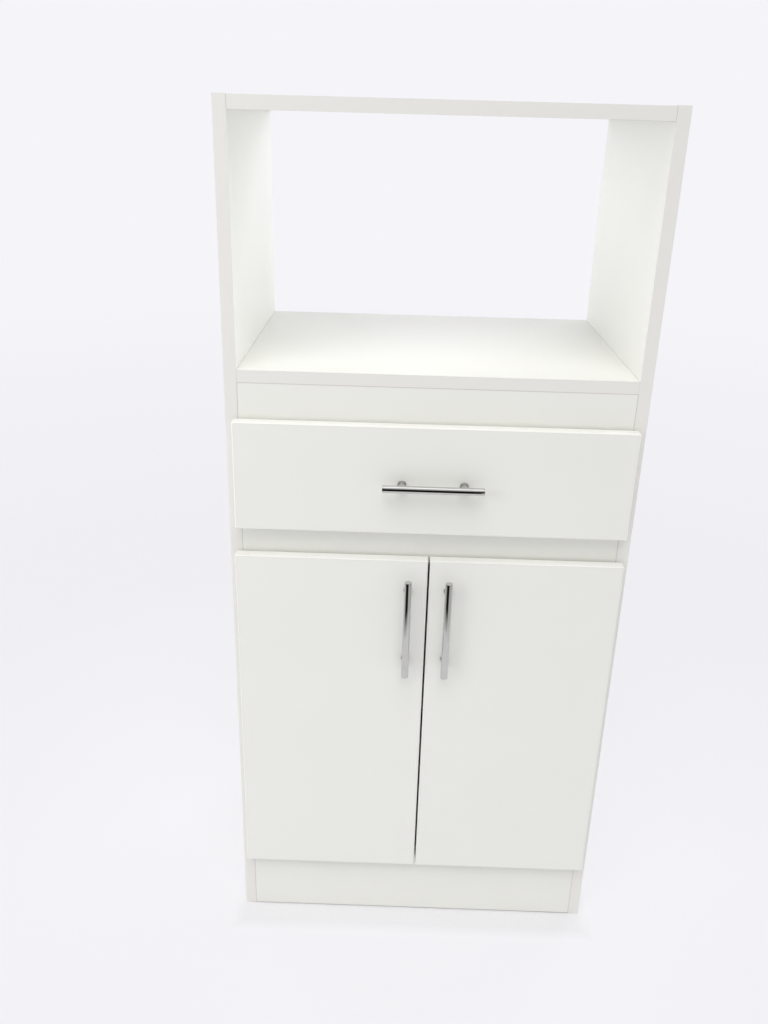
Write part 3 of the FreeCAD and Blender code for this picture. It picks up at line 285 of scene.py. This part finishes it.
def chrome_finish(name, rough):
    """Chrome plating with faint cloudiness and hair scratches."""
    made, tree, shader, place = new_finish(name)
    shader.inputs["Metallic"].default_value = 1.0
    tone = mix(tree, spread(tree, noise(tree, place, 60, 3)), CHROME_DARK, CHROME_LIGHT)
    tree.links.new(tone, shader.inputs["Base Color"])
    scratches = noise(tree, place, 220, 4)
    tree.links.new(fade(tree, scratches, 0.3, 0.75, rough, rough + 0.03), shader.inputs["Roughness"])
    bump(tree, shader, noise(tree, place, 1800, 2), 0.002 * MM, 0.25)
    return made


def plated_finish(name, light, dark, rough, grain):
    """Plated steel: patchy tone, fine drawn grain, duller where it is darker."""
    made, tree, shader, place = new_finish(name)
    shader.inputs["Metallic"].default_value = 1.0
    patches = noise(tree, place, 130, 4)
    tree.links.new(mix(tree, spread(tree, patches), dark, light), shader.inputs["Base Color"])
    tree.links.new(spread(tree, patches, rough + 0.12, rough), shader.inputs["Roughness"])
    bump(tree, shader, noise(tree, place, 2400, 2, grain), 0.01 * MM, 0.4)
    return made


def powder_coat_finish():
    """White powder coat with orange peel."""
    made, tree, shader, place = new_finish("white_powder_coat")
    tone = mix(tree, spread(tree, noise(tree, place, 40, 3)), POWDER_DARK, POWDER_LIGHT)
    tree.links.new(tone, shader.inputs["Base Color"])
    tree.links.new(spread(tree, noise(tree, place, 300, 2), 0.25, 0.4), shader.inputs["Roughness"])
    bump(tree, shader, noise(tree, place, 700, 1), 0.03 * MM, 0.5)
    return made


def moulded_finish(name, light, dark, rough, inner):
    """Moulded plastic or rubber with a little light inside and a matt, finely spotted skin."""
    made, tree, shader, place = new_finish(name)
    tree.links.new(mix(tree, spread(tree, noise(tree, place, 250, 3)), dark, light), shader.inputs["Base Color"])
    tree.links.new(spread(tree, noise(tree, place, 900, 2), rough, rough + 0.15), shader.inputs["Roughness"])
    shader.inputs["Subsurface Weight"].default_value = inner
    shader.inputs["Subsurface Scale"].default_value = 1.5 * MM
    bump(tree, shader, noise(tree, place, 1600, 2), 0.015 * MM, 0.4)
    return made


def beech_finish():
    """Beech with grain drawn out along x, less so along y."""
    made, tree, shader, place = new_finish("beech_wood")
    grain = noise(tree, place, 420, 5, (0.15, 0.3, 1))
    tree.links.new(mix(tree, spread(tree, grain), BEECH_DARK, BEECH_LIGHT), shader.inputs["Base Color"])
    tree.links.new(spread(tree, grain, 0.7, 0.5), shader.inputs["Roughness"])
    bump(tree, shader, grain, 0.05 * MM, 0.5)
    return made


def paint(finish, *names):
    for name in names:
        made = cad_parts[name]
        made.data.materials.clear()
        made.data.materials.append(finish)


def sides(name):
    return f"left_{name}", f"right_{name}"


CHROME = chrome_finish("polished_chrome", rough=0.02)
SATIN_CHROME = chrome_finish("satin_chrome", rough=0.28)
ZINC = plated_finish("zinc_plate", light=(0.62, 0.62, 0.63, 1), dark=(0.47, 0.47, 0.49, 1), rough=0.28,
                     grain=(1, 1, 0.2))
NICKEL = plated_finish("nickel_plate", light=(0.70, 0.69, 0.66, 1), dark=(0.58, 0.57, 0.55, 1), rough=0.16,
                       grain=(0.2, 1, 1))
POWDER = powder_coat_finish()
NYLON = moulded_finish("white_nylon", light=(0.80, 0.80, 0.78, 1), dark=(0.74, 0.74, 0.71, 1), rough=0.35,
                       inner=0.15)
SOFT = moulded_finish("soft_pad_rubber", light=(0.62, 0.61, 0.58, 1), dark=(0.55, 0.54, 0.51, 1), rough=0.45,
                      inner=0.25)
BEECH = beech_finish()

paint(board_finish("microwave_shelf", "x", SHELF_SEAM_SHARE), "microwave_shelf")
for board, seams in (("left_side_panel", ""), ("right_side_panel", ""), ("top_panel", "x"), ("upper_rail", "xZ"),
                     ("middle_rail", "x"), ("kick_plate", "x"), ("bottom_panel", "x"), ("inner_shelf", ""),
                     ("drawer_left_side", ""), ("drawer_right_side", ""), ("drawer_back", "x")):
    paint(board_finish(board, seams), board)
# The doors and the drawer front get the lighter edging colour, mostly a painted highlight on their rounded edges.
for front, edging_and_highlight in (("left_door", DOOR_EDGING_HIGHLIGHT), ("right_door", DOOR_EDGING_HIGHLIGHT), ("drawer_front", DRAWER_EDGING_HIGHLIGHT)):
    paint(board_finish(front, edging_and_highlight=edging_and_highlight, band=FRONT_BAND), front)
paint(hardboard_finish("back_panel", axis=1, white_low=True), "back_panel")
paint(hardboard_finish("drawer_bottom", axis=2, white_low=False), "drawer_bottom")
paint(POWDER, *sides("cabinet_runner"), *sides("drawer_runner"))
paint(NICKEL, *sides("hinge_cups"), *sides("hinge_arms"), *sides("hinge_plates"), *sides("hinge_pins"))
paint(ZINC, "cam_locks", "cam_bolts", "drawer_cam_locks", "drawer_cam_bolts", "back_nails", "shelf_pins")
paint(ZINC, "arm_screws", "plate_screws", *sides("cup_screws"), "cabinet_runner_screws", "drawer_runner_screws",
      "cabinet_roller_rivets", "drawer_roller_rivets", "drawer_box_screws", "drawer_handle_screws",
      *sides("handle_screws"))
paint(BEECH, "wood_dowels", "drawer_dowels")
paint(SOFT, "front_bumpers")
paint(NYLON, *sides("front_roller"), *sides("rear_roller"))


# ---------------------------------------------------------------- handles

BAR_RADIUS, BAR_EASE, BAR_TURNS = 6 * MM, 0.7 * MM, 72
BAR_RINGS = np.linspace(-0.9, 0.9, 9)
POST_RADIUS, FOOT_RADIUS, FOOT_HEIGHT, POST_TURNS = 5 * MM, 7 * MM, 2.5 * MM, 56


def bar_shape(half):
    """A round bar: a quarter arc of the easing radius leads from each flat end into the straight side."""
    inner = BAR_RADIUS - BAR_EASE
    return revolve(np.vstack([line((0, -half), (0.6 * inner, -half)),
                              arc((inner, BAR_EASE - half), BAR_EASE, -90, 0),
                              line(*[(BAR_RADIUS, h) for h in BAR_RINGS * half]),
                              arc((inner, half - BAR_EASE), BAR_EASE, 0, 90),
                              line((0.6 * inner, half), (0, half))]), BAR_TURNS)


def post_shape(reach):
    """A turned post: a foot with a rounded rim, a small hollow where the shank begins, and a plain shank."""
    chamfer, rim, hollow = 0.3 * MM, 0.8 * MM, 0.7 * MM
    return revolve(np.vstack([line((0, 0), (FOOT_RADIUS - chamfer, 0), (FOOT_RADIUS, chamfer)),
                              arc((FOOT_RADIUS - rim, FOOT_HEIGHT - rim), rim, 0, 80),
                              arc((POST_RADIUS + hollow, FOOT_HEIGHT + hollow), hollow, 265, 180),
                              line((POST_RADIUS, 0.8 * reach), (POST_RADIUS, reach), (0, reach))]), POST_TURNS)


def dress_handle(side, body, way):
    """The bar and the two posts of one handle, on the middles of the solids that they stand for."""
    bar, posts = f"{side}_handle_bar", f"{side}_handle_posts"
    low, high = corners(bar)
    half = (high - low)[np.argmax(high - low)] / 2
    middle = (low + high) / 2
    piece(f"{side}_bar", [stand(bar_shape(half), middle, way)], CHROME, body, [bar])
    low, high = corners(posts)
    reach = high[1] - middle[1]
    span = (high - low) @ way / 2 - FOOT_RADIUS
    feet = [np.array([middle[0], high[1], middle[2]]) + sign * span * way for sign in (-1, 1)]
    shapes = [stand(post_shape(reach), foot, -REAR) for foot in feet]
    piece(f"{side}_posts", shapes, SATIN_CHROME, body, [posts])


dress_handle("drawer", "drawer", RIGHT)
dress_handle("left", "left_door", UP)
dress_handle("right", "right_door", UP)


# ---------------------------------------------------------------- studio

STAGE_SIDE = 60
BACKGROUND = (0.915, 0.912, 0.945, 1)
FLOOR_DARK, FLOOR_LIGHT = (0.77, 0.77, 0.795, 1), (0.79, 0.79, 0.815, 1)
FLOOR_PAINTED_SHADE = (0.87, 0.865, 0.90, 1)
FLOOR_SHINE = 0.1
MIRROR_HEIGHT = 0.01
MIRROR_CENTRE = (0.0, -0.25, MIRROR_HEIGHT)
MIRROR_DARK, MIRROR_GREY = (0.012, 0.010, 0.009, 1), (0.58, 0.58, 0.57, 1)
MIRROR_PALE = (0.84, 0.84, 0.835, 1)
ROOM_DARK, ROOM_PALE, ROOM_BRIGHT = (0.008, 0.007, 0.006, 1), (0.65, 0.65, 0.64, 1), (1.6, 1.6, 1.58, 1)
WORLD_LIGHT, WORLD_COLOUR = 0.42, (1.0, 0.995, 0.985, 1)
WHITE_LIGHT, FRONT_COLOUR = (1, 1, 1), (1, 0.99, 0.975)
REAR_COLOUR, BAY_COLOUR = (0.955, 0.975, 1), (0.88, 0.85, 1)


def stage_surface(name, height, finish):
    """A level square surface of the stage."""
    h = STAGE_SIDE / 2
    mesh = bpy.data.meshes.new(name)
    mesh.from_pydata([(-h, -h, height), (h, -h, height), (h, h, height), (-h, h, height)], [], [(0, 1, 2, 3)])
    mesh.materials.append(finish)
    made = bpy.data.objects.new(name, mesh)
    bpy.context.collection.objects.link(made)
    return made


def make_floor():
    """A pale paper floor that keeps the cabinet's shadow, carries a faint ring of painted shade at some distance,
    and turns into the even background colour further off. Under the cabinet it doesn't glow."""
    made, tree, shader, place = new_finish("studio_paper")
    fibres = noise(tree, place, 180, 4)
    tone = mix(tree, fade(tree, fibres, 0.35, 0.7), FLOOR_DARK, FLOOR_LIGHT)
    tree.links.new(tone, shader.inputs["Base Color"])
    tree.links.new(spread(tree, fibres, 0.85, 0.95), shader.inputs["Roughness"])
    shader.inputs["Specular IOR Level"].default_value = FLOOR_SHINE
    bump(tree, shader, fibres, 0.1 * MM, 0.3)

    away = length(tree, place)
    # Painted shade: the floor's glow is darkened in a soft ring from about 0.5 m to 6 m from the middle.
    painted_shade = calc(tree, "MULTIPLY", fade(tree, away, 0.5, 1.3), fade(tree, away, 1.8, 6, 1, 0))
    glow = node(tree, "ShaderNodeEmission", {"Color": mix(tree, painted_shade, BACKGROUND, FLOOR_PAINTED_SHADE)})
    low, high = corners("left_side_panel")
    axes = split(tree, place)
    beside = calc(tree, "ADD", calc(tree, "ABSOLUTE", axes["X"]), float(low[0]))
    before = calc(tree, "SUBTRACT", calc(tree, "ABSOLUTE", axes["Y"]), float(high[1]))
    clear = fade(tree, calc(tree, "MAXIMUM", beside, before), -0.004, 0.02)
    share = calc(tree, "MULTIPLY", clear, fade(tree, away, 0.3, 2.6, 0.74, 1))
    both = node(tree, "ShaderNodeMixShader", {0: share, 1: shader.outputs[0], 2: glow.outputs[0]})
    show(tree, both.outputs[0])
    stage_surface("studio_floor", 0, made)


def make_mirror_floor():
    """What reflections see of the floor: pale near and behind the cabinet, dark further off in front, and grey to
    both sides."""
    finish, tree, _, place = new_finish("mirror_floor")
    place = node(tree, "ShaderNodeVectorMath", {0: place, 1: MIRROR_CENTRE}, operation="SUBTRACT").outputs[0]
    away = length(tree, place)
    axes = split(tree, place)
    rightward = calc(tree, "DIVIDE", axes["X"], away)
    tone = mix(tree, fade(tree, rightward, 0.12, 0.35), MIRROR_DARK, MIRROR_GREY)
    tone = mix(tree, fade(tree, rightward, -0.97, -0.85), MIRROR_GREY, tone)
    tone = mix(tree, fade(tree, axes["Y"], 0.4, 0.9), tone, MIRROR_PALE)
    tone = mix(tree, fade(tree, away, 1.04, 1.2), MIRROR_PALE, tone)
    show(tree, node(tree, "ShaderNodeEmission", {"Color": tone}).outputs[0])
    made = stage_surface("mirror_floor", MIRROR_HEIGHT, finish)
    made.visible_camera = made.visible_diffuse = made.visible_shadow = False
    made.visible_transmission = made.visible_volume_scatter = False


def make_world():
    """Even pale light all round. The camera sees the background colour. Mirrored are a pale ceiling, dark walls in
    front and the background behind the cabinet."""
    world = bpy.data.worlds.new("studio")
    bpy.context.scene.world = world
    world.use_nodes = True
    tree = world.node_tree
    tree.nodes.clear()
    path = node(tree, "ShaderNodeLightPath").outputs
    axes = split(tree, node(tree, "ShaderNodeTexCoord").outputs["Generated"])
    room = mix(tree, fade(tree, axes["Z"], 0.36, 0.66), ROOM_DARK, ROOM_PALE)
    room = mix(tree, fade(tree, axes["Y"], 0.3, 0.6), room, BACKGROUND)
    room = mix(tree, fade(tree, axes["Z"], 0.86, 0.96), room, ROOM_BRIGHT)
    even = node(tree, "ShaderNodeBackground", {"Color": WORLD_COLOUR, "Strength": WORLD_LIGHT})
    mirrored = node(tree, "ShaderNodeBackground", {"Color": room})
    seen = node(tree, "ShaderNodeBackground", {"Color": BACKGROUND})
    glossy = path["Is Glossy Ray"]
    light = node(tree, "ShaderNodeMixShader", {0: glossy, 1: even.outputs[0], 2: mirrored.outputs[0]})
    clear = calc(tree, "MAXIMUM", path["Is Camera Ray"], path["Is Transmission Ray"])
    both = node(tree, "ShaderNodeMixShader", {0: clear, 1: light.outputs[0], 2: seen.outputs[0]})
    tree.links.new(both.outputs[0], node(tree, "ShaderNodeOutputWorld").inputs["Surface"])


def add_light(name, kind, power, colour):
    """A light that lights the scene but shows neither in the picture nor in reflections."""
    lamp = bpy.data.lights.new(name, kind)
    lamp.energy, lamp.color = power, colour
    made = bpy.data.objects.new(name, lamp)
    bpy.context.collection.objects.link(made)
    made.visible_glossy = made.visible_camera = False
    return lamp, made


def make_sun(name, white, azimuth, elevation, spread_angle, colour=WHITE_LIGHT):
    """Soft parallel light from that azimuth (0 is the front, 90 the right) and elevation. A white surface square to
    it shows the given share of white."""
    lamp, made = add_light(name, "SUN", white * math.pi, colour)
    lamp.angle = math.radians(spread_angle)
    made.rotation_euler = (math.radians(90 - elevation), 0, math.radians(azimuth))


def make_disk(name, power, size, spot, aim, colour=WHITE_LIGHT):
    """A round lamp of that diameter that shines from its spot towards the aim."""
    lamp, made = add_light(name, "AREA", power, colour)
    lamp.shape, lamp.size = "DISK", size
    made.location = spot
    made.rotation_euler = (Vector(aim) - Vector(spot)).to_track_quat("-Z", "Y").to_euler()


def make_bulb(name, power, size, spot, colour):
    """A ball of that diameter that shines all round."""
    lamp, made = add_light(name, "POINT", power, colour)
    lamp.shadow_soft_size = size / 2
    made.location = spot


make_floor()
make_mirror_floor()
make_world()
make_sun("front_light", 0.475, azimuth=-8, elevation=62, spread_angle=40, colour=FRONT_COLOUR)
make_sun("rear_left_light", 0.27, azimuth=-148, elevation=8, spread_angle=40, colour=REAR_COLOUR)
make_sun("rear_right_light", 0.62, azimuth=148, elevation=8, spread_angle=40, colour=REAR_COLOUR)
make_sun("side_left_light", 0.18, azimuth=-92, elevation=10, spread_angle=20)
make_sun("side_right_light", 0.18, azimuth=92, elevation=10, spread_angle=20)
make_disk("left_light", power=9, size=1.0, spot=(-1.6, -1.5, 1.6), aim=(0, 0, 0.9))
make_disk("shelf_light", power=0.11, size=0.16, spot=(0, 0.19, 1.40), aim=(0, 0.19, 1), colour=BAY_COLOUR)
make_bulb("bay_front_light", power=0.18, size=0.2, spot=(0, -0.06, 1.31), colour=BAY_COLOUR)
make_bulb("bay_rear_light", power=0.31, size=0.2, spot=(0, 0.17, 1.31), colour=BAY_COLOUR)


# ---------------------------------------------------------------- camera

CAMERA_SPOT = (-0.0596, -1.5563, 1.4105)
PITCH, YAW, ROLL = 0.405, -0.011, 0.0273
LENS, SENSOR_WIDTH = 32.7, 36

camera = bpy.data.objects.new("camera", bpy.data.cameras.new("camera"))
bpy.context.collection.objects.link(camera)
bpy.context.scene.camera = camera
camera.data.lens, camera.data.sensor_width = LENS, SENSOR_WIDTH
camera.data.clip_end = 100
camera.matrix_world = (Matrix.Translation(CAMERA_SPOT) @ Matrix.Rotation(-YAW, 4, "Z")
                       @ Matrix.Rotation(math.pi / 2 - PITCH, 4, "X") @ Matrix.Rotation(ROLL, 4, "Z"))

bpy.context.scene.view_settings.view_transform = "Standard"
